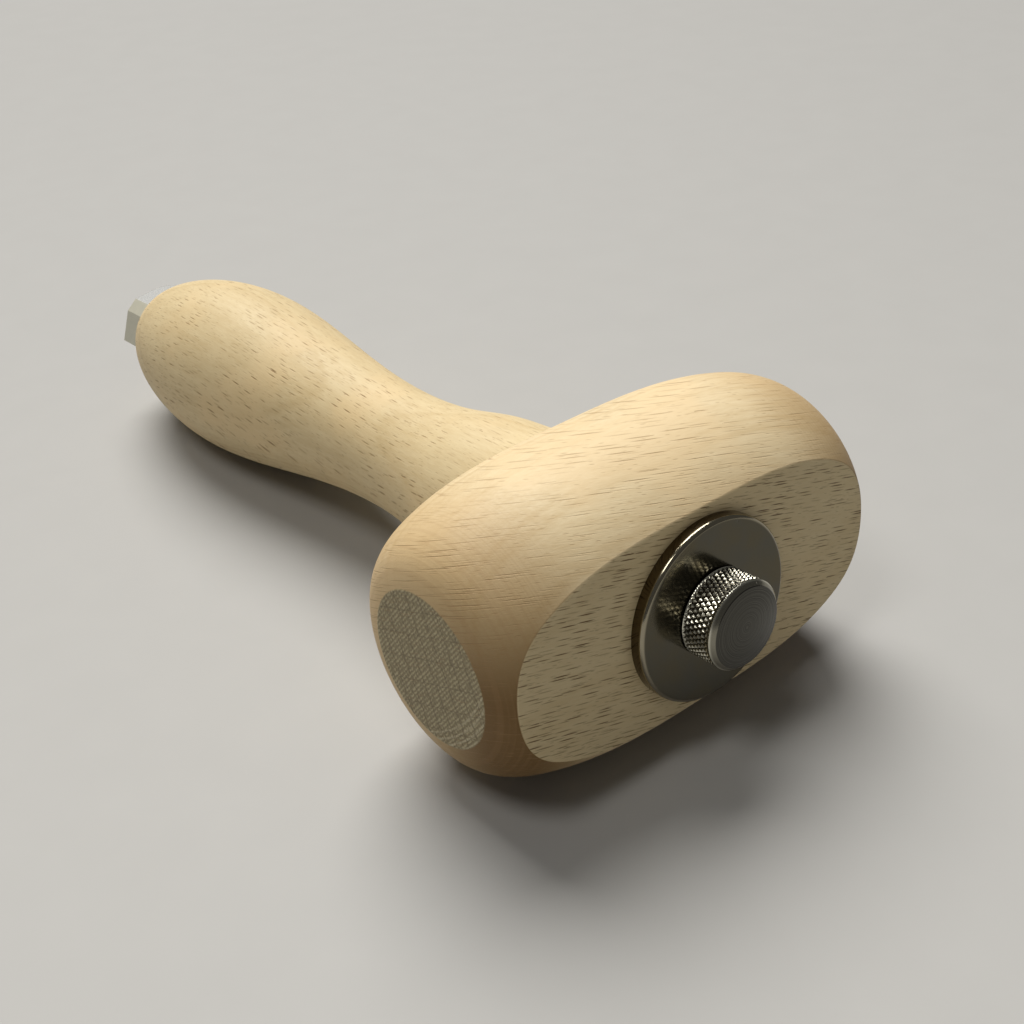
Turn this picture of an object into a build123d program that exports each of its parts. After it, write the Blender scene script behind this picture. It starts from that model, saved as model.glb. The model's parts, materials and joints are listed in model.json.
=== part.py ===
from build123d import *
import os
from math import asin, degrees, sqrt

# A leathercraft T mallet: a beech barrel head held on a turned beech handle by a stud, a wide washer
# and a knurled thumb nut.  Millimetres and degrees.
#
# Every piece is drawn in the mallet's own axes: X along the head, Y from the head's front flat towards
# the handle's butt, Z up, with the origin where the stud crosses the front flat.  At the end the whole
# mallet is tipped to lie on its barrel and on the handle's swell, with the surface at Z = 0.

# Head: a barrel turned about X, with a flat planed on its front and on its back
head_length = 102.6          # from one striking face to the other
head_thickness = 46.6        # from the front flat to the back flat
barrel_dia = 64.4            # at the middle of the head
crown_half_length = 25.6     # the barrel is nearly straight out to here
crown_drop = 0.9             # how much its radius falls by there
shoulder_half_length = 38.0  # start of the rounded shoulder
shoulder_drop = 3.3          # how much the radius has fallen by there
corner_half_length = 47.3    # the shoulder's tightest bend
corner_drop = 7.7            # how much the radius has fallen by there
face_dia = 33.2              # flat striking face
flat_edge_r = 0.8            # softened edge round each flat

# Handle: turned about Y.  Each reach is measured from the head's back flat
flare_dia = 44.4             # where it meets the flat
collar_dia = 39.8            # foot of the flare
collar_reach = 10.0
heel_dia = 38.4              # end of the thick part
heel_reach = 20.0
shank_dia = 33.4             # on the way down to the neck
shank_reach = 34.0
neck_dia = 30.4              # thinnest place
neck_reach = 60.0
palm_dia = 36.2              # on the way up to the swell
palm_reach = 88.0
swell_dia = 45.8             # thickest place, in the palm
swell_reach = 129.3
butt_length = 52.1           # from the swell to the butt's tip
spigot_dia = 24.0            # round tenon that enters the head
spigot_length = 15.0

# Clamp: stud, washer and thumb nut
stud_dia = 10.0
stud_pitch = 1.5
stud_in_handle = 45.0        # from the spigot's end, held in the handle
turns_in_nut = 4             # turns of thread that the nut takes
stud_tip_chamfer = 0.8
washer_dia = 40.0
washer_thickness = 3.0
washer_rim_r = 0.9
nut_dia = 19.2
nut_length = 8.5
nut_front_chamfer = 1.0
nut_back_chamfer = 0.4

# Film: a strip of clear film standing round the upper half of the butt
film_dia = 27.6
film_thickness = 0.6
film_before_tip = 4.0        # from its free edge to the butt's tip
film_start_angle = 5.0       # above the horizontal, at each side

# Clearances
spigot_fit = 0.05            # radial, spigot in socket
socket_end_gap = 1.0         # beyond the spigot's end
stud_hole_gap = 0.3          # radial, stud in the head and in the washer
thread_fit = 0.05            # radial, stud in nut
nut_end_gap = 0.5            # beyond the stud's tip

# Where a cubic curve's handles sit, as a share of each half axis, to draw a quarter of an ellipse
ellipse_pull = 0.5523

# Worked out from the sizes above
barrel_r = barrel_dia / 2
head_axis_y = head_thickness / 2
spigot_end_y = head_thickness - spigot_length
swell_y = head_thickness + swell_reach
tip_y = swell_y + butt_length
nut_seat_y = -washer_thickness
stud_tip_y = nut_seat_y - turns_in_nut * stud_pitch
stud_root_y = spigot_end_y + stud_in_handle


def rod(radius, start_y, end_y):
    """A cylinder along Y."""
    return Pos(0, (start_y + end_y) / 2, 0) * Rot(90, 0, 0) * Cylinder(radius, end_y - start_y)


def make_head():
    """The barrel with its two flats, the stud's hole and the socket for the handle's spigot."""
    half = head_length / 2
    face_r = face_dia / 2
    right_side = [
        (crown_half_length, barrel_r - crown_drop),
        (shoulder_half_length, barrel_r - shoulder_drop),
        (corner_half_length, barrel_r - corner_drop),
        (half, face_r),
    ]
    left_side = [(-x, radius) for x, radius in reversed(right_side)]
    crown = Spline(*left_side, (0, barrel_r), *right_side)
    base = Polyline((half, face_r), (half, 0), (-half, 0), (-half, face_r))
    seam_at_top = Rot(90, 0, 0)  # clear of the flats' tips
    barrel = Pos(0, head_axis_y, 0) * seam_at_top * revolve(make_face(crown + base), Axis.X)
    between_flats = Pos(0, head_axis_y, 0) * Box(2 * head_length, head_thickness, 2 * barrel_dia)
    head = barrel & between_flats
    by_depth = head.faces().filter_by(Plane.XZ).sort_by(Axis.Y)
    head = fillet(by_depth[0].edges() + by_depth[-1].edges(), flat_edge_r)
    head -= rod(stud_dia / 2 + stud_hole_gap, 0, head_thickness)
    head -= rod(spigot_dia / 2 + spigot_fit, spigot_end_y - socket_end_gap, head_thickness)
    return head


def make_handle():
    """The turned grip with its spigot, drilled for the stud."""
    flank = Spline(
        (flare_dia / 2, head_thickness),
        (collar_dia / 2, head_thickness + collar_reach),
        (heel_dia / 2, head_thickness + heel_reach),
        (shank_dia / 2, head_thickness + shank_reach),
        (neck_dia / 2, head_thickness + neck_reach),
        (palm_dia / 2, head_thickness + palm_reach),
        (swell_dia / 2, swell_y),
        tangents=[Vector(-1, 2.2).normalized(), (0, 1)],
        tangent_scalars=[1, 1],
    )
    swell_r = swell_dia / 2
    butt = Bezier(
        (swell_r, swell_y),
        (swell_r, swell_y + ellipse_pull * butt_length),
        (ellipse_pull * swell_r, tip_y),
        (0, tip_y),
    )
    inside = Polyline(
        (0, tip_y),
        (0, spigot_end_y),
        (spigot_dia / 2, spigot_end_y),
        (spigot_dia / 2, head_thickness),
        (flare_dia / 2, head_thickness),
    )
    handle = revolve(make_face(flank + butt + inside), Axis.Y)
    return handle - rod(stud_dia / 2, spigot_end_y, stud_root_y)


def make_stud():
    """A threaded rod, drawn at the diameter of its thread's crests."""
    stud = rod(stud_dia / 2, stud_tip_y, stud_root_y)
    return chamfer(stud.edges().filter_by(GeomType.CIRCLE), stud_tip_chamfer)


def make_washer():
    """A wide washer with a rounded rim."""
    washer = rod(washer_dia / 2, nut_seat_y, 0)
    washer = fillet(washer.edges().filter_by(GeomType.CIRCLE).sort_by(Axis.Y)[0], washer_rim_r)
    return washer - rod(stud_dia / 2 + stud_hole_gap, nut_seat_y, 0)


def make_thumb_nut():
    """A blind nut for the fingers, chamfered front and back."""
    front_y = nut_seat_y - nut_length
    nut = rod(nut_dia / 2, front_y, nut_seat_y)
    rims = nut.edges().filter_by(GeomType.CIRCLE).sort_by(Axis.Y)
    nut = chamfer(rims[0], nut_front_chamfer)
    rims = nut.edges().filter_by(GeomType.CIRCLE).sort_by(Axis.Y)
    nut = chamfer(rims[-1], nut_back_chamfer)
    return nut - rod(stud_dia / 2 + thread_fit, stud_tip_y - nut_end_gap, nut_seat_y)


def make_butt_film():
    """Half a ring of film over the butt: its inner edge sits on the wood's ellipse."""
    inner_r = film_dia / 2 - film_thickness
    start_y = swell_y + butt_length * sqrt(1 - (2 * inner_r / swell_dia) ** 2)
    length = tip_y - film_before_tip - start_y
    strip = Pos(-inner_r - film_thickness / 2, start_y + length / 2) * Rectangle(film_thickness, length)
    half_ring = revolve(strip, Axis.Y, revolution_arc=180 - 2 * film_start_angle)
    return Rot(0, film_start_angle, 0) * half_ring


def rest_tilt():
    """How far the handle drops when barrel and swell both touch one flat surface.

    The lowest point of the butt's ellipse at a tilt a lies sqrt((butt sin a)^2 + (swell cos a)^2) under
    its centre, and the barrel's lies one radius under its axis, which gives a quadratic in sin a.
    """
    reach = swell_y - head_axis_y
    swell_r = swell_dia / 2
    square = reach**2 - butt_length**2 + swell_r**2
    linear = barrel_r * reach
    constant = barrel_r**2 - swell_r**2
    return degrees(asin((linear - sqrt(linear**2 - square * constant)) / square))


pieces = {
    "head": make_head(),
    "handle": make_handle(),
    "stud": make_stud(),
    "washer": make_washer(),
    "thumb_nut": make_thumb_nut(),
    "butt_film": make_butt_film(),
}

tilt = Rot(-rest_tilt(), 0, 0)
tilted = {name: tilt * piece for name, piece in pieces.items()}
box = Compound(list(tilted.values())).bounding_box()
rest = Pos(-box.center().X, -box.center().Y, -box.min.Z)

os.makedirs("parts", exist_ok=True)
for name, piece in tilted.items():
    export_step(rest * piece, f"parts/{name}.step")
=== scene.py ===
import json
import math

import bmesh
import bpy
from mathutils import Matrix, Vector


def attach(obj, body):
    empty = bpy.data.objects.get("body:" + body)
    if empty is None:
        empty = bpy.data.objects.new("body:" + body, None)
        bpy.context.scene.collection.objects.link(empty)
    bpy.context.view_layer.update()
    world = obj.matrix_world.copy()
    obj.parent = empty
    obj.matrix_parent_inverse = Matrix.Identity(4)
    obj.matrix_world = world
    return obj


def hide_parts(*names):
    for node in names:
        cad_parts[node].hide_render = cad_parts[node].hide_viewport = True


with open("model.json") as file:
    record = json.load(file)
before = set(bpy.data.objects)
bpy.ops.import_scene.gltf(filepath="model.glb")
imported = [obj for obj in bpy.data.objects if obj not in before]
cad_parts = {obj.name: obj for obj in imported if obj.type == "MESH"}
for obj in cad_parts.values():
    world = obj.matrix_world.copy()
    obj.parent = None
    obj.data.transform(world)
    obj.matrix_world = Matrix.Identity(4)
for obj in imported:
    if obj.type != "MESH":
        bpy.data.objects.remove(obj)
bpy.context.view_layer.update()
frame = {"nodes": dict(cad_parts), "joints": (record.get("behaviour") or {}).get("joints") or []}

# ---------------------------------------------------------------------------------------------
# Handle.  Turned beech, its grain running the length of the grip, sanded and left bare.  A spigot
# at its end enters the head, and the stud is glued into the spigot.
# ---------------------------------------------------------------------------------------------

# The mallet's own axes, in millimetres: X runs along the head, Y from the head's front flat to the
# butt, and Z is up from the head.  They lean a little, as the mallet lies on barrel and swell.
# The nut's hinge in the frame gives the stud's line and the face that the nut sits on.
nut_hinge = next(joint for joint in frame["joints"] if joint["name"] == "nut_turn")
towards_butt = -Vector(nut_hinge["axis"]).normalized()
along_head = Vector((1, 0, 0))
lean = Matrix((along_head, towards_butt, along_head.cross(towards_butt))).transposed()
washer_thickness = 3.0
front_flat = Vector(nut_hinge["pos_m"]) + towards_butt * washer_thickness / 1000
from_mallet = Matrix.Translation(front_flat) @ lean.to_4x4() @ Matrix.Scale(0.001, 4)


def feed(tree, socket, value):
    """Links a socket to an input, or sets the input to a plain number, tuple or colour."""
    if isinstance(value, bpy.types.NodeSocket):
        tree.links.new(value, socket)
    else:
        socket.default_value = value


def calc(tree, operation, *values, clamp=False):
    """One Math node on sockets or plain numbers."""
    node = tree.nodes.new("ShaderNodeMath")
    node.operation, node.use_clamp = operation, clamp
    for socket, value in zip(node.inputs, values):
        feed(tree, socket, value)
    return node.outputs[0]


def fade(tree, value, low, high, to_low=0.0, to_high=1.0):
    """Smoothly maps low..high of a socket to to_low..to_high, and holds beyond them."""
    node = tree.nodes.new("ShaderNodeMapRange")
    node.interpolation_type = "SMOOTHSTEP"
    for socket, number in zip(node.inputs, (value, low, high, to_low, to_high)):
        feed(tree, socket, number)
    return node.outputs[0]


def place_in(tree, axes=Matrix.Identity(3)):
    """The surface point in millimetres, in the mallet's own axes or in axes given in those."""
    where = tree.nodes.new("ShaderNodeTexCoord")
    turn = tree.nodes.new("ShaderNodeMapping")
    turn.vector_type = "TEXTURE"
    turn.inputs["Location"].default_value = front_flat
    turn.inputs["Rotation"].default_value = (lean @ axes).to_euler()
    turn.inputs["Scale"].default_value = (0.001, 0.001, 0.001)
    tree.links.new(where.outputs["Object"], turn.inputs["Vector"])
    return turn.outputs[0]


def split(tree, vector):
    """The three numbers of a vector."""
    node = tree.nodes.new("ShaderNodeSeparateXYZ")
    tree.links.new(vector, node.inputs[0])
    return node.outputs[0], node.outputs[1], node.outputs[2]


def vector_calc(tree, operation, *values):
    """One Vector Math node; gives its vector, or its number for LENGTH."""
    node = tree.nodes.new("ShaderNodeVectorMath")
    node.operation = operation
    for socket, value in zip(node.inputs, values):
        feed(tree, socket, value)
    return node.outputs["Value" if operation == "LENGTH" else "Vector"]


def noise(tree, vector, scale, detail=2.0, dimensions="3D", colour=False):
    """A Noise node read at a point, or at one number for dimensions 1D."""
    node = tree.nodes.new("ShaderNodeTexNoise")
    node.noise_dimensions = dimensions
    feed(tree, node.inputs["W" if dimensions == "1D" else "Vector"], vector)
    node.inputs["Scale"].default_value = scale
    node.inputs["Detail"].default_value = detail
    return node.outputs["Color" if colour else "Fac"]


def blend_colours(tree, amount, first, second):
    """Mixes two colours."""
    node = tree.nodes.new("ShaderNodeMix")
    node.data_type = "RGBA"
    feed(tree, node.inputs["Factor"], amount)
    feed(tree, node.inputs[6], first)
    feed(tree, node.inputs[7], second)
    return node.outputs[2]


def new_finish(name):
    """An empty material with a Principled shader: (material, tree, shader)."""
    material = bpy.data.materials.new(name)
    material.use_nodes = True
    return material, material.node_tree, material.node_tree.nodes["Principled BSDF"]


def dress(node_name, material):
    """Gives a CAD node's object one material."""
    slots = frame["nodes"][node_name].data.materials
    slots.clear()
    slots.append(material)


def ray_flecks(tree, point, cell, size, least):
    """The thin dark rays of beech: lens-shaped sheets, scattered one to a cell.

    point, cell and size are in the wood's axes: across the rays, along the grain, out from the
    tree's heart.  least is the share of cells that stay empty.
    """
    scaled = vector_calc(tree, "DIVIDE", point, cell)
    cells = tree.nodes.new("ShaderNodeTexVoronoi")
    cells.inputs["Scale"].default_value = 1.0
    tree.links.new(scaled, cells.inputs["Vector"])
    away = vector_calc(tree, "SUBTRACT", scaled, cells.outputs["Position"])
    reach = [c / s for c, s in zip(cell, size)]
    distance = vector_calc(tree, "LENGTH", vector_calc(tree, "MULTIPLY", away, reach))
    chance, darkness, _ = split(tree, cells.outputs["Color"])
    present = fade(tree, chance, least, least + 0.08)
    shape = fade(tree, distance, 1.0, 0.35)
    depth = fade(tree, darkness, 0.0, 1.0, 0.35, 1.0)
    return calc(tree, "MULTIPLY", calc(tree, "MULTIPLY", shape, present), depth)


class BeechBlock:
    """One block's material, and the sockets that its cut faces build on."""

    def __init__(self, material, tree, shader, point, colour, fleck, specks, pores):
        self.material, self.tree, self.shader = material, tree, shader
        self.point, self.colour, self.fleck = point, colour, fleck
        self.specks, self.pores = specks, pores


def beech(name, grain, outward, heart, flecks, lightest, darkest):
    """Bare beech in one block: rings round a far heart, pores along the grain and ray flecks.

    grain and outward are directions in the mallet's axes, and heart is how far the block lies from
    the tree's heart, in millimetres.  Noise scales are per millimetre.
    """
    material, tree, shader = new_finish(name)
    grain = Vector(grain).normalized()
    outward = Vector(outward)
    outward = (outward - grain * outward.dot(grain)).normalized()
    axes = Matrix((grain.cross(outward), grain, outward)).transposed()
    straight = place_in(tree, axes)
    drift = vector_calc(
        tree, "SUBTRACT", noise(tree, straight, 0.018, 1.5, colour=True), (0.5, 0.5, 0.5)
    )
    point = vector_calc(
        tree, "ADD", straight, vector_calc(tree, "MULTIPLY", drift, (3.0, 0.0, 9.0))
    )
    across, _, out = split(tree, point)
    bulge = calc(tree, "DIVIDE", calc(tree, "MULTIPLY", across, across), 2 * heart)
    ring = calc(tree, "ADD", out, bulge)
    ring_tone = noise(tree, ring, 0.30, 3.0, "1D")
    late_wood = fade(tree, noise(tree, ring, 0.52, 0.0, "1D"), 0.55, 0.80)
    pores = noise(tree, vector_calc(tree, "MULTIPLY", point, (3.4, 0.30, 2.2)), 1.0, 2.0)
    silk = noise(tree, vector_calc(tree, "MULTIPLY", point, (0.9, 0.07, 0.5)), 1.0, 2.0)
    patches = noise(tree, straight, 0.045, 2.0)
    patchy = fade(tree, patches, 0.30, 0.62, 0.40, 1.0)
    fleck = calc(tree, "MULTIPLY", ray_flecks(tree, point, *flecks), patchy)
    specks = ray_flecks(tree, point, (0.55, 2.6, 5.0), (0.13, 0.8, 2.4), 0.35)

    tone = calc(tree, "MULTIPLY_ADD", ring_tone, 0.38, -0.02)
    tone = calc(tree, "MULTIPLY_ADD", silk, 0.35, tone)
    tone = calc(tree, "MULTIPLY_ADD", late_wood, 0.10, tone)
    tone = calc(tree, "MULTIPLY_ADD", pores, 0.30, tone)
    colour = blend_colours(
        tree, fade(tree, tone, 0.20, 0.85), (*lightest, 1), (*darkest, 1)
    )
    pink = [c * k for c, k in zip(lightest, (0.99, 0.92, 0.84))]
    colour = blend_colours(
        tree, fade(tree, patches, 0.46, 0.66, 0.0, 0.6), colour, (*pink, 1)
    )
    return BeechBlock(material, tree, shader, straight, colour, fleck, specks, pores)


def finish_wood(wood, colour, fleck_colour, strength, extra_height=None):
    """Lays the flecks over the colour, and wires colour, roughness and relief to the shader.

    colour is a socket; fleck_colour and strength are each a socket or a plain value.
    """
    tree, shader = wood.tree, wood.shader
    colour = blend_colours(
        tree, calc(tree, "MULTIPLY", wood.specks, 0.42), colour, fleck_colour
    )
    colour = blend_colours(
        tree, calc(tree, "MULTIPLY", wood.fleck, strength), colour, fleck_colour
    )
    tree.links.new(colour, shader.inputs["Base Color"])
    tree.links.new(
        calc(tree, "MULTIPLY_ADD", wood.pores, 0.22, 0.42), shader.inputs["Roughness"]
    )
    height = calc(tree, "MULTIPLY", wood.pores, 0.5)
    height = calc(tree, "MULTIPLY_ADD", wood.fleck, -0.8, height)
    height = calc(tree, "MULTIPLY_ADD", wood.specks, -0.3, height)
    if extra_height:
        height = calc(tree, "ADD", height, extra_height)
    bump = tree.nodes.new("ShaderNodeBump")
    bump.inputs["Strength"].default_value = 1.0
    bump.inputs["Distance"].default_value = 0.00006
    tree.links.new(height, bump.inputs["Height"])
    tree.links.new(bump.outputs[0], shader.inputs["Normal"])
    shader.inputs["Specular IOR Level"].default_value = 0.22


handle_wood = beech(
    "turned beech handle",
    grain=(0.02, 1, 0.03),
    outward=(-0.53, 0, 0.85),
    heart=90.0,
    flecks=((1.10, 5.0, 9.0), (0.20, 2.1, 5.0), 0.08),
    lightest=(0.77, 0.63, 0.385),
    darkest=(0.60, 0.45, 0.235),
)
finish_wood(handle_wood, handle_wood.colour, (0.31, 0.185, 0.08, 1), 0.88)
dress("handle", handle_wood.material)

# ---------------------------------------------------------------------------------------------
# Stud.  A length of 10 mm zinc-plated threaded rod with a right-hand thread, glued into the
# handle.  It passes through the head and the washer, and the thumb nut screws onto its end.
# ---------------------------------------------------------------------------------------------
def new_shaper(name, inputs):
    """A Geometry Nodes tree with named number inputs: (tree, {name: socket}, output node)."""
    tree = bpy.data.node_groups.new(name, "GeometryNodeTree")
    tree.interface.new_socket("Geometry", in_out="INPUT", socket_type="NodeSocketGeometry")
    for label in inputs:
        kind = "NodeSocketInt" if isinstance(inputs[label], int) else "NodeSocketFloat"
        tree.interface.new_socket(label, in_out="INPUT", socket_type=kind)
    tree.interface.new_socket("Finish", in_out="INPUT", socket_type="NodeSocketMaterial")
    tree.interface.new_socket("Geometry", in_out="OUTPUT", socket_type="NodeSocketGeometry")
    entry = tree.nodes.new("NodeGroupInput")
    return tree, entry.outputs, tree.nodes.new("NodeGroupOutput")


def grid_of(tree, across, along):
    """A flat grid of across by along points, each point's turn round Y and its row number."""
    grid = tree.nodes.new("GeometryNodeMeshGrid")
    feed(tree, grid.inputs["Vertices X"], across)
    feed(tree, grid.inputs["Vertices Y"], along)
    index = tree.nodes.new("GeometryNodeInputIndex").outputs[0]
    column = calc(tree, "FLOOR", calc(tree, "DIVIDE", calc(tree, "ADD", index, 0.5), along))
    row = calc(tree, "SUBTRACT", index, calc(tree, "MULTIPLY", column, along))
    turn = calc(tree, "DIVIDE", column, calc(tree, "SUBTRACT", across, 1))
    return grid.outputs["Mesh"], calc(tree, "MULTIPLY", turn, 2 * math.pi), row


def wrap_round(tree, mesh, turn, radius, depth, material, output):
    """Bends the grid round Y at a radius and depth for each point, closes it and finishes it."""
    place = tree.nodes.new("ShaderNodeCombineXYZ")
    feed(tree, place.inputs[0], calc(tree, "MULTIPLY", radius, calc(tree, "SINE", turn)))
    feed(tree, place.inputs[1], depth)
    feed(tree, place.inputs[2], calc(tree, "MULTIPLY", radius, calc(tree, "COSINE", turn)))
    moved = tree.nodes.new("GeometryNodeSetPosition")
    tree.links.new(mesh, moved.inputs["Geometry"])
    tree.links.new(place.outputs[0], moved.inputs["Position"])
    closed = tree.nodes.new("GeometryNodeMergeByDistance")
    closed.inputs["Distance"].default_value = 0.002  # millimetres
    real = tree.nodes.new("GeometryNodeRealizeInstances")
    dressed = tree.nodes.new("GeometryNodeSetMaterial")
    tree.links.new(moved.outputs[0], closed.inputs["Geometry"])
    tree.links.new(closed.outputs[0], real.inputs[0])
    tree.links.new(real.outputs[0], dressed.inputs["Geometry"])
    tree.links.new(material, dressed.inputs["Material"])
    tree.links.new(dressed.outputs[0], output.inputs[0])


def shape_piece(name, tree, sizes, material):
    """Runs a shaper with its sizes, and keeps the result as a plain mesh in the frame's metres."""
    carrier = bpy.data.objects.new(name + "_blank", bpy.data.meshes.new(name + "_blank"))
    bpy.context.scene.collection.objects.link(carrier)
    modifier = carrier.modifiers.new("shape", "NODES")
    modifier.node_group = tree
    for item in tree.interface.items_tree:
        if item.in_out == "INPUT" and item.name in sizes:
            modifier[item.identifier] = sizes[item.name]
        elif item.in_out == "INPUT" and item.name == "Finish":
            modifier[item.identifier] = material
    bpy.context.view_layer.update()
    mesh = bpy.data.meshes.new_from_object(
        carrier.evaluated_get(bpy.context.evaluated_depsgraph_get())
    )
    bpy.data.objects.remove(carrier)
    return keep_piece(name, mesh)


def keep_piece(name, mesh):
    """Puts a mesh drawn in the mallet's millimetres into the frame, with its faces outwards."""
    tiny = 1e-7  # metres
    mesh.transform(from_mallet)
    made = bmesh.new()
    made.from_mesh(mesh)
    bmesh.ops.remove_doubles(made, verts=made.verts, dist=tiny)
    bmesh.ops.dissolve_degenerate(made, dist=tiny, edges=made.edges)
    bmesh.ops.recalc_face_normals(made, faces=made.faces)
    made.to_mesh(mesh)
    made.free()
    mesh.shade_smooth()
    mesh.set_sharp_from_angle(angle=math.radians(28))
    mesh.name = name
    piece = bpy.data.objects.new(name, mesh)
    bpy.context.scene.collection.objects.link(piece)
    return piece


stud_sizes = {
    "Crest radius": 5.0,
    "Thread depth": 0.92,
    "Pitch": 1.5,
    "Chamfer": 0.8,
    "Front end": -9.0,
    "Root end": 76.6,
    "Points round": 49,
    "Points along": 560,
}
threader, size, threaded = new_shaper("threaded rod", stud_sizes)
rod_grid, turn, row = grid_of(threader, size["Points round"], size["Points along"])
# the first and last row close the ends, so the rows between them spread over the length
along_share = calc(
    threader,
    "DIVIDE",
    calc(threader, "SUBTRACT", row, 1),
    calc(threader, "SUBTRACT", size["Points along"], 3),
    clamp=True,
)
length = calc(threader, "SUBTRACT", size["Root end"], size["Front end"])
depth = calc(threader, "MULTIPLY_ADD", along_share, length, size["Front end"])
phase = calc(
    threader,
    "FRACT",
    calc(
        threader,
        "SUBTRACT",
        calc(threader, "DIVIDE", depth, size["Pitch"]),
        calc(threader, "DIVIDE", turn, 2 * math.pi),
    ),
)
flank = calc(threader, "ABSOLUTE", calc(threader, "MULTIPLY_ADD", phase, 2.0, -1.0))
steepness, crest_width = 1.35, 0.18
flank = calc(threader, "MULTIPLY_ADD", flank, steepness, -crest_width, clamp=True)
radius = calc(
    threader,
    "SUBTRACT",
    size["Crest radius"],
    calc(threader, "MULTIPLY", flank, size["Thread depth"]),
)
from_front = calc(threader, "SUBTRACT", depth, size["Front end"])
from_root = calc(threader, "SUBTRACT", size["Root end"], depth)
nearest_end = calc(threader, "MINIMUM", from_front, from_root)
cut_back = calc(
    threader,
    "ADD",
    nearest_end,
    calc(threader, "SUBTRACT", size["Crest radius"], size["Chamfer"]),
)
radius = calc(threader, "MINIMUM", radius, cut_back)
last_row = calc(threader, "SUBTRACT", size["Points along"], 1.5)
inside_rows = calc(
    threader,
    "MULTIPLY",
    calc(threader, "GREATER_THAN", row, 0.5),
    calc(threader, "LESS_THAN", row, last_row),
)
radius = calc(threader, "MULTIPLY", radius, inside_rows)
wrap_round(threader, rod_grid, turn, radius, depth, size["Finish"], threaded)

zinc, tree, shader = new_finish("zinc plated thread")
spot = place_in(tree)
grime = noise(tree, spot, 0.9, 3.0)
tree.links.new(
    blend_colours(tree, grime, (0.50, 0.50, 0.49, 1), (0.66, 0.65, 0.61, 1)),
    shader.inputs["Base Color"],
)
shader.inputs["Metallic"].default_value = 1.0
tree.links.new(fade(tree, grime, 0.3, 0.7, 0.26, 0.42), shader.inputs["Roughness"])

stud = shape_piece("threaded_stud", threader, stud_sizes, zinc)
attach(stud, "handle")
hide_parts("stud")

# ---------------------------------------------------------------------------------------------
# Head.  A beech barrel turned along its length and sanded smooth, with a flat planed on its front
# and on its back.  Both ends are sawn across the grain, and these faces strike the punch.
# ---------------------------------------------------------------------------------------------
head_wood = beech(
    "turned beech head",
    grain=(0.963, -0.099, -0.250),
    outward=(0.0, 0.930, -0.367),
    heart=140.0,
    flecks=((0.75, 7.5, 11.0), (0.14, 4.3, 7.0), 0.05),
    lightest=(0.81, 0.67, 0.435),
    darkest=(0.64, 0.48, 0.265),
)
tree = head_wood.tree
head_x, head_y, head_z = split(tree, place_in(tree))
head_half_length, head_thickness = 51.3, 46.6
from_middle = calc(tree, "ABSOLUTE", calc(tree, "SUBTRACT", head_y, head_thickness / 2))
on_flat = fade(tree, from_middle, head_thickness / 2 - 0.12, head_thickness / 2 - 0.02)
from_end = calc(tree, "ABSOLUTE", head_x)
on_end = fade(tree, from_end, head_half_length - 0.08, head_half_length - 0.01)

# planed flats are greyer than the burnished barrel, with shorter, heavier flecks
planed = ray_flecks(tree, head_wood.point, (0.80, 4.6, 7.0), (0.18, 3.0, 4.8), 0.05)
head_wood.fleck = calc(
    tree,
    "ADD",
    calc(tree, "MULTIPLY", head_wood.fleck, calc(tree, "SUBTRACT", 1.0, on_flat)),
    calc(tree, "MULTIPLY", planed, on_flat),
)
flat_grey, shoulder_brown = (0.62, 0.51, 0.29, 1), (0.55, 0.37, 0.17, 1)
# the first brown on the next line is painted shade for the shoulders' front and underside
shade_brown, ring_brown = (0.165, 0.088, 0.024, 1), (0.36, 0.21, 0.10, 1)
colour = blend_colours(tree, calc(tree, "MULTIPLY", on_flat, 0.55), head_wood.colour, flat_grey)
# the turned shoulders are warmer; at their front and low down they are painted darker brown, which
# is painted shade; they show the lathe's rings faintly
shoulder_from, shoulder_full = 24.0, 46.0
shoulder = calc(
    tree,
    "MULTIPLY",
    fade(tree, from_end, shoulder_from, shoulder_full),
    calc(tree, "SUBTRACT", 1.0, on_flat),
)
colour = blend_colours(tree, calc(tree, "MULTIPLY", shoulder, 0.55), colour, shoulder_brown)
lathe_rings = noise(tree, head_x, 1.5, 1.0, "1D")
# painted shade: the shoulders turn dark brown towards their front and low down, where shade falls
painted_front_low_shade = calc(tree, "MULTIPLY", shoulder, fade(tree, head_y, 32.0, 6.0))
painted_front_low_shade = calc(tree, "MULTIPLY", painted_front_low_shade, fade(tree, head_z, 22.0, 0.0, 0.30, 0.95))
colour = blend_colours(tree, painted_front_low_shade, colour, shade_brown)
ring_lines = calc(tree, "MULTIPLY", fade(tree, lathe_rings, 0.50, 0.62), shoulder)
colour = blend_colours(tree, calc(tree, "MULTIPLY", ring_lines, 0.13), colour, ring_brown)


def wave(tree, distance, spacing):
    """Rises and falls between -1 and 1, once in each spacing."""
    return calc(tree, "SINE", calc(tree, "MULTIPLY", distance, 2 * math.pi / spacing))


# sawn end grain: grey-beige, with the rings' dark lines and a few rays, crossed by the saw's
# slanting scratches and, low at the front, by its curved ones
saw_slope, saw_spacing, cross_spacing = -47, 0.80, 1.15
_, saw_y, saw_z = split(tree, place_in(tree, Matrix.Rotation(math.radians(saw_slope), 3, "X")))
broken = noise(tree, place_in(tree), 0.8, 3.0)
wander = calc(tree, "MULTIPLY_ADD", broken, 0.9, saw_z)
scratches = fade(tree, wave(tree, wander, saw_spacing), -0.8, 1.0)
scratches = calc(tree, "MULTIPLY", scratches, fade(tree, broken, 0.36, 0.60, 0.10, 1.0))
other_way = wave(tree, saw_y, cross_spacing)
scratches = calc(tree, "MULTIPLY_ADD", fade(tree, other_way, 0.1, 1.0), 0.22, scratches)
end_lines = 0.0
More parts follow.
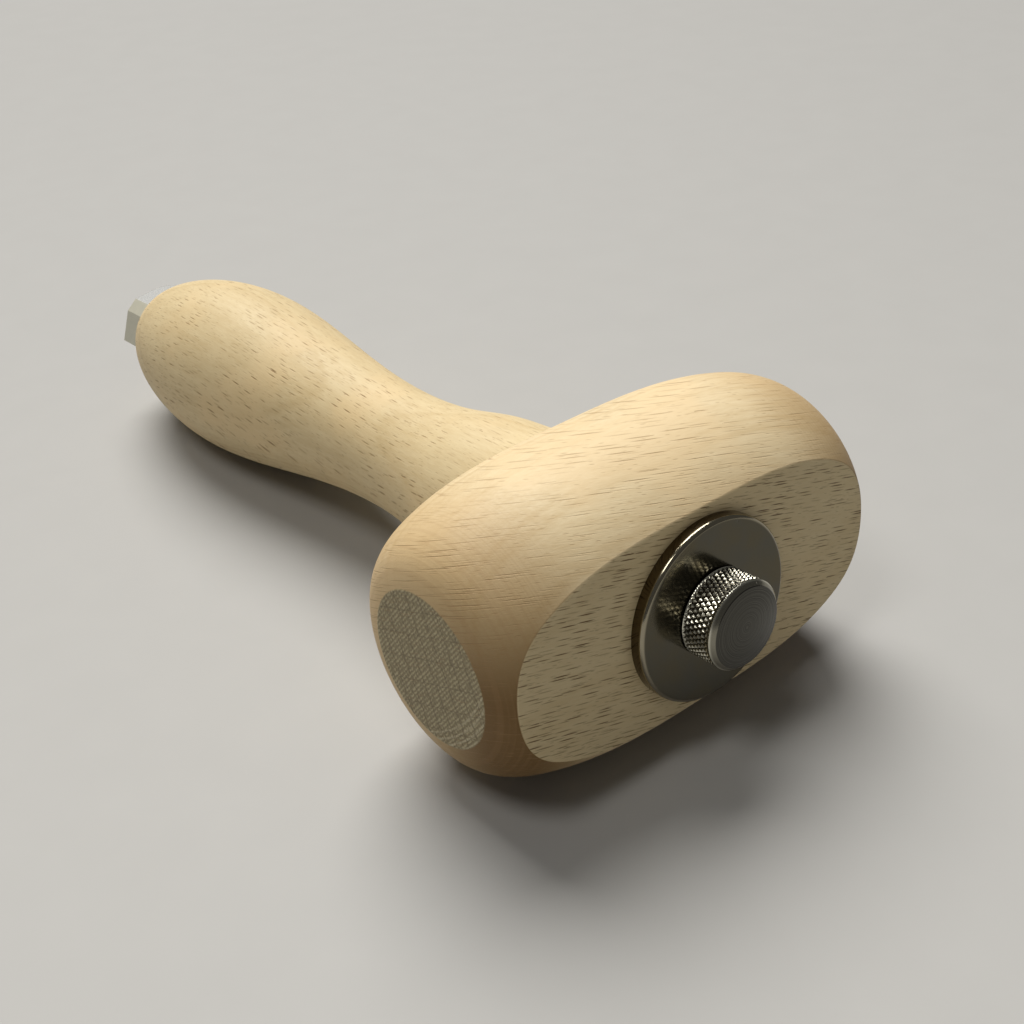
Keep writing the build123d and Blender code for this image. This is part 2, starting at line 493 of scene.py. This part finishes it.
# each set of dark lines: its slope in degrees, spacing and half width
for slope, spacing, width in ((-109, 4.4, 0.30), (-19, 5.2, 0.16), (-106, 1.9, 0.12)):
    _, _, across_line = split(tree, place_in(tree, Matrix.Rotation(math.radians(slope), 3, "X")))
    across_line = calc(tree, "MULTIPLY_ADD", broken, 1.4, across_line)
    line = calc(tree, "ABSOLUTE", calc(tree, "WRAP", across_line, spacing / 2, -spacing / 2))
    end_lines = calc(tree, "MAXIMUM", fade(tree, line, width, width * 0.2), end_lines)
arc_centre_y, arc_centre_z, arc_spacing, arcs_from, arcs_full = 44.0, 22.0, 1.5, 40.5, 43.0
from_arc_centre = vector_calc(
    tree,
    "MULTIPLY_ADD",
    place_in(tree),
    (0.0, 1.0, 1.0),
    (0.0, -arc_centre_y, -arc_centre_z),
)
arc_from = vector_calc(tree, "LENGTH", from_arc_centre)
arc_lines = fade(tree, wave(tree, arc_from, arc_spacing), 0.2, 1.0)
arc_lines = calc(tree, "MULTIPLY", arc_lines, fade(tree, arc_from, arcs_from, arcs_full))
sawn_dark, sawn_light = (0.265, 0.22, 0.125, 1), (0.50, 0.43, 0.265, 1)
arc_pale, line_dark = (0.66, 0.58, 0.40, 1), (0.15, 0.11, 0.06, 1)
end_colour = blend_colours(tree, scratches, sawn_dark, sawn_light)
end_colour = blend_colours(tree, calc(tree, "MULTIPLY", arc_lines, 0.5), end_colour, arc_pale)
end_colour = blend_colours(tree, calc(tree, "MULTIPLY", end_lines, 0.60), end_colour, line_dark)
colour = blend_colours(tree, on_end, colour, end_colour)
fleck_left = calc(tree, "SUBTRACT", 1.0, calc(tree, "MULTIPLY", on_end, 0.6))
head_wood.fleck = calc(tree, "MULTIPLY", head_wood.fleck, fleck_left)
saw_marks = calc(tree, "MULTIPLY_ADD", arc_lines, 1.5, calc(tree, "MULTIPLY", scratches, 1.3))
saw_relief = calc(tree, "MULTIPLY", on_end, saw_marks)
lathe_relief = calc(tree, "MULTIPLY", lathe_rings, calc(tree, "MULTIPLY", shoulder, 0.5))
barrel_fleck, flat_fleck = (0.34, 0.205, 0.09, 1), (0.15, 0.088, 0.035, 1)
finish_wood(
    head_wood,
    colour,
    blend_colours(tree, on_flat, barrel_fleck, flat_fleck),
    calc(tree, "MULTIPLY_ADD", on_flat, 0.35, 0.62),
    extra_height=calc(tree, "ADD", saw_relief, lathe_relief),
)
dress("head", head_wood.material)

# ---------------------------------------------------------------------------------------------
# Washer.  A wide, thick steel washer, turned, with its rim rounded over and plated in a dark
# nickel.  It spreads the nut's clamping force over the head's front flat.
# ---------------------------------------------------------------------------------------------
def plated_steel(name, base, roughness):
    """Dark, bright nickel plating on turned steel, with fine rings, faint stains and nicks."""
    material, tree, shader = new_finish(name)
    point = place_in(tree)
    x, y, z = split(tree, point)
    square = calc(tree, "ADD", calc(tree, "MULTIPLY", x, x), calc(tree, "MULTIPLY", z, z))
    radius = calc(tree, "SQRT", square)
    rings = noise(tree, radius, 5.0, 3.0, "1D")
    stains = noise(tree, point, 0.16, 3.0)
    nicks = tree.nodes.new("ShaderNodeTexVoronoi")
    nicks.inputs["Scale"].default_value = 0.55
    tree.links.new(point, nicks.inputs["Vector"])
    chance, _, _ = split(tree, nicks.outputs["Color"])
    near_nick = fade(tree, nicks.outputs["Distance"], 0.16, 0.08)
    nick = calc(tree, "MULTIPLY", near_nick, fade(tree, chance, 0.80, 0.86))
    warm = [c * k for c, k in zip(base, (1.10, 1.02, 0.84))]
    colour = blend_colours(tree, fade(tree, stains, 0.30, 0.75), (*base, 1), (*warm, 1))
    tree.links.new(colour, shader.inputs["Base Color"])
    shader.inputs["Metallic"].default_value = 1.0
    rough = calc(tree, "MULTIPLY_ADD", stains, 0.10, roughness - 0.05)
    tree.links.new(
        calc(tree, "MULTIPLY_ADD", rings, 0.06, rough), shader.inputs["Roughness"]
    )
    bump = tree.nodes.new("ShaderNodeBump")
    bump.inputs["Distance"].default_value = 0.000012
    tree.links.new(
        calc(tree, "MULTIPLY_ADD", nick, -4.0, calc(tree, "MULTIPLY", rings, 0.35)),
        bump.inputs["Height"],
    )
    tree.links.new(bump.outputs[0], shader.inputs["Normal"])
    return material, tree, shader, radius


washer_nickel = (0.092, 0.086, 0.068)
# a painted highlight colour for the rim, and a painted reflection of the wood for the side wall
rim_highlight_nickel, wall_wood_reflection_brown = (0.34, 0.305, 0.225, 1), (0.125, 0.098, 0.060, 1)
washer_plating, tree, shader, washer_radius = plated_steel(
    "dark nickel washer", washer_nickel, 0.11
)
# the rounded rim is painted brighter all round, a painted highlight, and part of the side wall is
# painted brown, a painted reflection of the wood
_, washer_y, _ = split(tree, place_in(tree))
washer_colour = shader.inputs["Base Color"].links[0].from_socket
rim_from, rim_full, wall_from, wall_full = 19.1, 19.6, 19.85, 19.98  # radii
wall_front, wall_back = -2.3, -2.0
# painted highlight: the rim's plating is made brighter all round
rim_highlight_mask = fade(tree, washer_radius, rim_from, rim_full)
washer_colour = blend_colours(tree, rim_highlight_mask, washer_colour, rim_highlight_nickel)
on_wall = fade(tree, washer_radius, wall_from, wall_full)
# painted reflection: this part of the side wall is browned as if it mirrored the wood
painted_wall_reflection = calc(tree, "MULTIPLY", on_wall, fade(tree, washer_y, wall_front, wall_back))
tree.links.new(
    blend_colours(tree, painted_wall_reflection, washer_colour, wall_wood_reflection_brown),
    shader.inputs["Base Color"],
)
dress("washer", washer_plating)

# ---------------------------------------------------------------------------------------------
# Thumb nut.  A blind knurled nut turned from bar: a diamond knurl for the fingers, a chamfer at
# its front, and a flat face that keeps the marks of the facing cut.
# ---------------------------------------------------------------------------------------------
nut_sizes = {
    "Outer radius": 9.6,
    "Seat": -washer_thickness,
    "Front": -11.5,
    "Bore radius": 5.05,
    "Bore end": -9.5,
    "Front chamfer": 1.0,
    "Back chamfer": 0.4,
    "Plain rim": 0.45,
    "Knurls round": 50,
    "Knurl height": 2.08,
    "Knurl depth": 0.36,
    "Points round": 401,
    "Points along": 76,
}
knurler, size, knurled = new_shaper("knurled nut", nut_sizes)
nut_grid, turn, row = grid_of(knurler, size["Points round"], size["Points along"])


def pick(tree, row, table, otherwise):
    """A number for each of the first rows, given as {row: number}, and another for the rest."""
    value = otherwise
    for number, chosen in table.items():
        same = calc(tree, "COMPARE", row, number, 0.5)
        rest = calc(tree, "MULTIPLY", value, calc(tree, "SUBTRACT", 1.0, same))
        value = calc(tree, "MULTIPLY_ADD", same, chosen, rest)
    return value


# rows 0-4 go from the middle of the front face out over the chamfer, then come the knurled rows,
# and the last rows go over the back chamfer, in to the bore, and along it to its blind end
knurl_start = calc(
    knurler, "ADD", size["Front"], calc(knurler, "ADD", size["Front chamfer"], size["Plain rim"])
)
knurl_end = calc(knurler, "SUBTRACT", size["Seat"], size["Back chamfer"])
first_knurl_row, rows_after = 5, 5
share = calc(
    knurler,
    "DIVIDE",
    calc(knurler, "SUBTRACT", row, first_knurl_row),
    calc(knurler, "SUBTRACT", size["Points along"], first_knurl_row + rows_after + 1),
    clamp=True,
)
depth = calc(
    knurler,
    "MULTIPLY_ADD",
    share,
    calc(knurler, "SUBTRACT", knurl_end, knurl_start),
    knurl_start,
)
round_phase = calc(
    knurler, "MULTIPLY", calc(knurler, "DIVIDE", turn, 2 * math.pi), size["Knurls round"]
)
long_phase = calc(knurler, "DIVIDE", depth, size["Knurl height"])
grooves = []
for way in ("ADD", "SUBTRACT"):
    groove = calc(knurler, "FRACT", calc(knurler, way, round_phase, long_phase))
    grooves.append(calc(knurler, "ABSOLUTE", calc(knurler, "MULTIPLY_ADD", groove, 2.0, -1.0)))
tooth = calc(knurler, "MAXIMUM", grooves[0], grooves[1])
crest_flat, run_in = 0.12, 14.0
tooth = calc(knurler, "MULTIPLY_ADD", tooth, 1.12, -crest_flat, clamp=True)
fade_in = calc(knurler, "MULTIPLY", share, run_in, clamp=True)
fade_out = calc(knurler, "MULTIPLY", calc(knurler, "SUBTRACT", 1.0, share), run_in, clamp=True)
cut = calc(knurler, "MULTIPLY", calc(knurler, "MULTIPLY", tooth, fade_in), fade_out)
radius = calc(
    knurler,
    "SUBTRACT",
    size["Outer radius"],
    calc(knurler, "MULTIPLY", cut, size["Knurl depth"]),
)
face_radius = calc(knurler, "SUBTRACT", size["Outer radius"], size["Front chamfer"])
back_radius = calc(knurler, "SUBTRACT", size["Outer radius"], size["Back chamfer"])
chamfer_end = calc(knurler, "ADD", size["Front"], size["Front chamfer"])
edge_step, face_drop, bore_lead = 0.12, 0.06, 0.5
step_in = calc(knurler, "SUBTRACT", size["Outer radius"], edge_step)
after = nut_sizes["Points along"] - rows_after
radius = pick(
    knurler,
    row,
    {
        0: 0.0,
        1: calc(knurler, "SUBTRACT", face_radius, edge_step),
        2: face_radius,
        3: step_in,
        4: size["Outer radius"],
        after: back_radius,
        after + 1: calc(knurler, "ADD", size["Bore radius"], bore_lead),
        after + 2: size["Bore radius"],
        after + 3: size["Bore radius"],
        after + 4: 0.0,
    },
    radius,
)
depth = pick(
    knurler,
    row,
    {
        0: size["Front"],
        1: size["Front"],
        2: calc(knurler, "ADD", size["Front"], face_drop),
        3: chamfer_end,
        4: calc(knurler, "ADD", chamfer_end, edge_step),
        after: size["Seat"],
        after + 1: size["Seat"],
        after + 2: calc(knurler, "SUBTRACT", size["Seat"], bore_lead),
        after + 3: size["Bore end"],
        after + 4: size["Bore end"],
    },
    depth,
)
wrap_round(knurler, nut_grid, turn, radius, depth, size["Finish"], knurled)

# the groove and crest colours are brighter than the plating: painted highlight on the knurl
nut_nickel, groove_sheen_nickel = (0.10, 0.096, 0.082), (0.27, 0.255, 0.205, 1)
crest_highlight_nickel = (0.66, 0.64, 0.54, 1)
ring_dark, ring_light = (0.048, 0.046, 0.040, 1), (0.110, 0.106, 0.092, 1)
nut_plating, tree, shader, nut_radius = plated_steel("dark nickel nut", nut_nickel, 0.17)
# the knurl is brighter than the plating, most on its crests, partly as polish from fingers and
# partly as painted highlight; the front keeps the rings of the facing cut
groove_radius, crest_radius, front_from, front_full = 9.22, 9.58, -11.3, -11.44
crest_highlight_mask = fade(tree, nut_radius, groove_radius, crest_radius)
# painted highlight on the knurl, partly real polish: bright crests, duller grooves
knurl_highlight_and_polish = blend_colours(tree, crest_highlight_mask, groove_sheen_nickel, crest_highlight_nickel)
_, nut_y, _ = split(tree, place_in(tree))
on_front = fade(tree, nut_y, front_from, front_full)
facing_rings = fade(tree, noise(tree, nut_radius, 5.5, 2.0, "1D"), 0.35, 0.70)
front_colour = blend_colours(tree, facing_rings, ring_dark, ring_light)
tree.links.new(blend_colours(tree, on_front, knurl_highlight_and_polish, front_colour), shader.inputs["Base Color"])
shader.inputs["Anisotropic"].default_value = 0.6
round_the_nut = tree.nodes.new("ShaderNodeTangent")
round_the_nut.direction_type, round_the_nut.axis = "RADIAL", "Y"
tree.links.new(round_the_nut.outputs[0], shader.inputs["Tangent"])
thumb_nut = shape_piece("knurled_thumb_nut", knurler, nut_sizes, nut_plating)
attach(thumb_nut, "thumb_nut")
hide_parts("thumb_nut")

# ---------------------------------------------------------------------------------------------
# Butt film.  A strip of thin, stiff plastic film wrapped half round the butt, creased where it was
# folded.  It stands a little proud of the wood; one fold is frosted white, the rest is clear.
# ---------------------------------------------------------------------------------------------
film_thickness, film_root, film_edge = 0.25, 214.5, 224.0
film_creases = [
    (-14.4, 1.1),
    (-11.1, 9.5),
    (-7.8, 12.2),
    (-4.7, 12.7),
    (-1.2, 13.2),
    (1.9, 13.2),
    (5.6, 12.1),
    (9.6, 9.4),
    (12.4, 5.4),
    (13.5, 1.3),
]
film_mesh = bpy.data.meshes.new("butt_film_strip")
film = bmesh.new()
rails = []
for depth in (film_root, film_edge):
    for skin in (0.0, film_thickness):
        rail = []
        for x, z in film_creases:
            inwards = 1 - skin / math.hypot(x, z)
            rail.append(film.verts.new((x * inwards, depth, z * inwards)))
        rails.append(rail)
outer_root, inner_root, outer_edge, inner_edge = rails
for first, second in (
    (outer_root, outer_edge),
    (outer_edge, inner_edge),
    (inner_edge, inner_root),
    (inner_root, outer_root),
):
    for n in range(len(film_creases) - 1):
        film.faces.new((first[n], first[n + 1], second[n + 1], second[n]))
for n in (0, -1):
    film.faces.new([rail[n] for rail in (outer_root, outer_edge, inner_edge, inner_root)])
film.to_mesh(film_mesh)
film.free()

film_finish, tree, shader = new_finish("creased plastic film")
film_x, _, _ = split(tree, place_in(tree))
crumple = noise(tree, place_in(tree), 0.5, 3.0)
clear_to, frosted_from = -7.3, -8.1
frosted = fade(tree, film_x, clear_to, frosted_from)
clear_grey, frosted_cream = (0.62, 0.64, 0.65, 1), (0.62, 0.60, 0.49, 1)
tree.links.new(
    blend_colours(tree, frosted, clear_grey, frosted_cream), shader.inputs["Base Color"]
)
tree.links.new(
    calc(tree, "MULTIPLY_ADD", crumple, 0.12, calc(tree, "MULTIPLY_ADD", frosted, 0.62, 0.16)),
    shader.inputs["Alpha"],
)
tree.links.new(calc(tree, "MULTIPLY_ADD", frosted, 0.35, 0.10), shader.inputs["Roughness"])
bump = tree.nodes.new("ShaderNodeBump")
bump.inputs["Distance"].default_value = 0.00003
tree.links.new(crumple, bump.inputs["Height"])
tree.links.new(bump.outputs[0], shader.inputs["Normal"])

butt_film = keep_piece("folded_butt_film", film_mesh)
film_mesh.materials.append(film_finish)
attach(butt_film, "handle")
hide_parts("butt_film")

# ---------------------------------------------------------------------------------------------
# Table, light and camera.  The mallet lies on a plain pale table.  A wide, soft sun shines from
# behind its right, a small square lamp hangs over its left, and the camera is in front of its left.
# ---------------------------------------------------------------------------------------------
table = bpy.data.objects.new("table", bpy.data.meshes.new("table"))
bpy.context.scene.collection.objects.link(table)
half_table = 12.0
corners = [(x * half_table, y * half_table, 0) for x, y in ((-1, -1), (1, -1), (1, 1), (-1, 1))]
table.data.from_pydata(corners, [], [(0, 1, 2, 3)])
table_finish, tree, shader = new_finish("pale table")
where = tree.nodes.new("ShaderNodeTexCoord")
mottle = noise(tree, where.outputs["Object"], 60.0, 2.0)
tree.links.new(
    blend_colours(tree, mottle, (0.41, 0.405, 0.395, 1), (0.43, 0.425, 0.415, 1)),
    shader.inputs["Base Color"],
)
shader.inputs["Roughness"].default_value = 0.7
table.data.materials.append(table_finish)

key_lamp = bpy.data.lights.new("key lamp", "SUN")
key_lamp.energy, key_lamp.angle, key_lamp.color = 3.7, math.radians(42), (1.0, 0.98, 0.935)
key_holder = bpy.data.objects.new("key lamp", key_lamp)
key_holder.rotation_euler = Vector((-0.30, -0.62, -0.98)).to_track_quat("-Z", "Y").to_euler()
bpy.context.scene.collection.objects.link(key_holder)

left_lamp = bpy.data.lights.new("overhead lamp", "AREA")
left_lamp.shape, left_lamp.size = "SQUARE", 0.27
left_lamp.energy, left_lamp.color = 1.8, (1.0, 0.98, 0.93)
left_holder = bpy.data.objects.new("overhead lamp", left_lamp)
left_holder.location = (-0.42, -0.16, 0.85)
to_mallet = Vector((0, 0, 0.02)) - Vector(left_holder.location)
left_holder.rotation_euler = to_mallet.to_track_quat("-Z", "Y").to_euler()
bpy.context.scene.collection.objects.link(left_holder)

# the room lights the mallet dimly, and looks pale where the table ends
room = bpy.data.worlds.new("room")
room.use_nodes = True
room.node_tree.nodes["Background"].inputs["Color"].default_value = (0.84, 0.83, 0.80, 1)
room_light, room_look = 0.12, 0.62
behind = room.node_tree.nodes.new("ShaderNodeLightPath").outputs["Is Camera Ray"]
room.node_tree.links.new(
    fade(room.node_tree, behind, 0.0, 1.0, room_light, room_look),
    room.node_tree.nodes["Background"].inputs["Strength"],
)
bpy.context.scene.world = room
bpy.context.scene.view_settings.view_transform = "Standard"

camera = bpy.data.objects.new("camera", bpy.data.cameras.new("camera"))
camera.data.sensor_width, camera.data.lens = 36.0, 52.667
camera.data.clip_start, camera.data.clip_end = 0.01, 10.0
camera_place = Vector((-0.176408, -0.274563, 0.211402))
camera_heading, camera_dip, camera_roll = 37.871, 32.507, -3.808  # degrees
camera.matrix_world = (
    Matrix.Translation(camera_place)
    @ Matrix.Rotation(math.radians(-camera_heading), 4, "Z")
    @ Matrix.Rotation(math.radians(90 - camera_dip), 4, "X")
    @ Matrix.Rotation(math.radians(camera_roll), 4, "Z")
)
bpy.context.scene.collection.objects.link(camera)
bpy.context.scene.camera = camera
